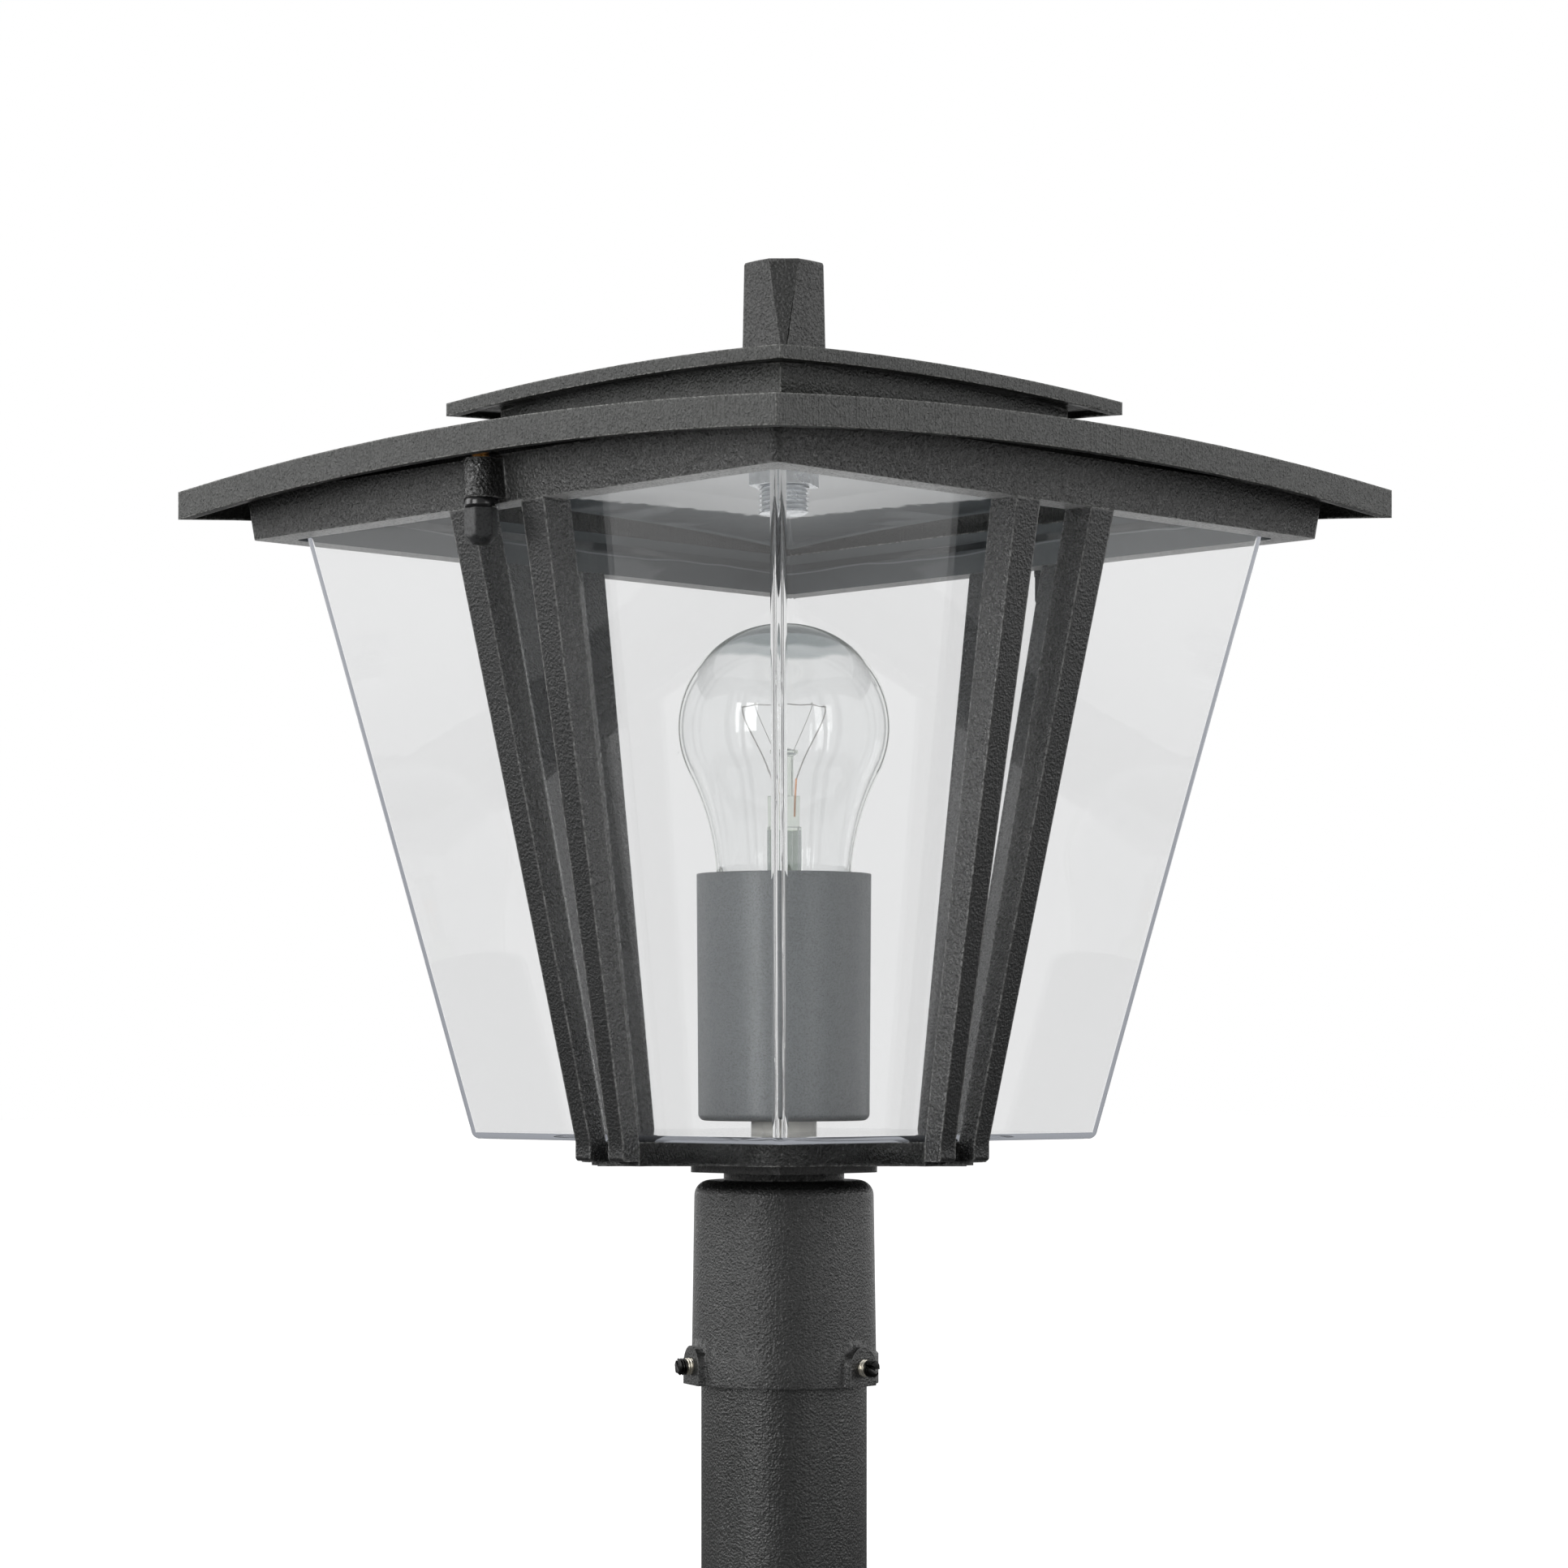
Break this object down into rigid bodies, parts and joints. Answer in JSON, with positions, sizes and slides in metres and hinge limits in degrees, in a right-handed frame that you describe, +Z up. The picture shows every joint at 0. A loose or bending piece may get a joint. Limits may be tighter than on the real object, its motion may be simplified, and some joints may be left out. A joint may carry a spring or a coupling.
{
  "type": "post top lantern",
  "caption": "Square tapered post top lantern: dark metal frame with paired stiles, clear enclosure, clear lamp on a sleeved holder, arched tiered roof, set-screw socket on a round post.",
  "frame": {"origin": "centre of the post's lower end", "axes": "+Z up along the post; the lantern's four sides face -Y, +X, +Y and -X, and the two cap nuts are on the -Y and +Y sides"},
  "size_m": [0.2488, 0.2488, 0.3837],
  "materials": {
    "frame_paint": "fine textured anthracite powder coat",
    "roof_paint": "anthracite powder coat, rims filed before coating",
    "socket_paint": "coarse textured anthracite powder coat",
    "post_paint": "textured anthracite coat on a drawn tube",
    "nut_paint": "smooth dark coat",
    "clear_plastic": "clear cast acrylic",
    "seal_rubber": "soft black rubber",
    "washer_rubber": "glossy black rubber",
    "stud_brass": "plain brass",
    "zinc_steel": "zinc plated steel",
    "screw_steel": "steel with a coated slotted end",
    "sleeve_coat": "satin dark grey",
    "holder_white": "cream white insulating moulding",
    "contact_metal": "bright contact metal",
    "lamp_glass": "clear thin glass",
    "lamp_metal": "drawn lamp cap",
    "insulator_glass": "black vitreous insulation",
    "wire_metal": "fine metal wire"
  },
  "bodies": {
    "post": {"post_tube": "post_paint"},
    "head": {"post_socket": "socket_paint", "base_casting": "frame_paint", "enclosure": "clear_plastic", "frame_ring": "frame_paint", "roof_gasket": "seal_rubber", "holder_nipple": "zinc_steel", "nipple_locknut": "zinc_steel", "holder_body": "holder_white", "holder_sleeve": "sleeve_coat", "shell_contact": "contact_metal", "centre_contact": "contact_metal", "terminals": "contact_metal", "stile_front_a": "frame_paint", "stile_front_b": "frame_paint", "stile_right_a": "frame_paint", "stile_right_b": "frame_paint", "stile_back_a": "frame_paint", "stile_back_b": "frame_paint", "stile_left_a": "frame_paint", "stile_left_b": "frame_paint"},
    "roof": {"main_roof": "roof_paint", "upper_roof": "roof_paint", "finial": "frame_paint", "finial_stem": "zinc_steel", "stem_washer": "zinc_steel", "stem_nut": "zinc_steel", "roof_studs": "stud_brass"},
    "lamp": {"lamp_glass": "lamp_glass", "lamp_cap": "lamp_metal", "cap_insulator": "insulator_glass", "cap_tip": "lamp_metal", "glass_stem": "lamp_glass", "lead_wires": "wire_metal", "support_wires": "wire_metal", "filament": "wire_metal"},
    "washer_front": {"nut_washer_front": "washer_rubber"},
    "nut_front": {"cap_nut_front": "nut_paint"},
    "washer_back": {"nut_washer_back": "washer_rubber"},
    "nut_back": {"cap_nut_back": "nut_paint"},
    "screw_1": {"set_screw_1": "screw_steel"},
    "screw_2": {"set_screw_2": "screw_steel"},
    "screw_3": {"set_screw_3": "screw_steel"}
  },
  "joints": [
    {"name": "head_turn", "type": "hinge", "parent": "post", "child": "head", "pos_m": [0, 0, 0.06], "axis": [0, 0, 1], "continuous": true},
    {"name": "roof_lift", "type": "slide", "parent": "head", "child": "roof", "axis": [0, 0, 1], "range_m": [0, 0.08]},
    {"name": "lamp_lift", "type": "slide", "parent": "head", "child": "lamp", "axis": [0, 0, 1], "range_m": [0, 0.028]},
    {"name": "nut_drop_front", "type": "slide", "parent": "head", "child": "washer_front", "axis": [0, 0, -1], "range_m": [0, 0.0088]},
    {"name": "nut_turn_front", "type": "hinge", "parent": "washer_front", "child": "nut_front", "pos_m": [0, -0.1146, 0.30245], "axis": [0, 0, -1], "range_deg": [0, 3961]},
    {"name": "nut_drop_back", "type": "slide", "parent": "head", "child": "washer_back", "axis": [0, 0, -1], "range_m": [0, 0.0088]},
    {"name": "nut_turn_back", "type": "hinge", "parent": "washer_back", "child": "nut_back", "pos_m": [0, 0.1146, 0.30245], "axis": [0, 0, -1], "range_deg": [0, 3961]},
    {"name": "set_screw_1_slide", "type": "slide", "parent": "head", "child": "screw_1", "axis": [0.9914, 0.1305, 0], "range_m": [0, 0.004]},
    {"name": "set_screw_2_slide", "type": "slide", "parent": "head", "child": "screw_2", "axis": [-0.6088, 0.7934, 0], "range_m": [0, 0.004]},
    {"name": "set_screw_3_slide", "type": "slide", "parent": "head", "child": "screw_3", "axis": [-0.3827, -0.9239, 0], "range_m": [0, 0.004]}
  ],
  "couplings": [
    {"joint": "nut_turn_front", "follows": "nut_drop_front", "rad_per_m": 7854},
    {"joint": "nut_turn_back", "follows": "nut_drop_back", "rad_per_m": 7854}
  ]
}
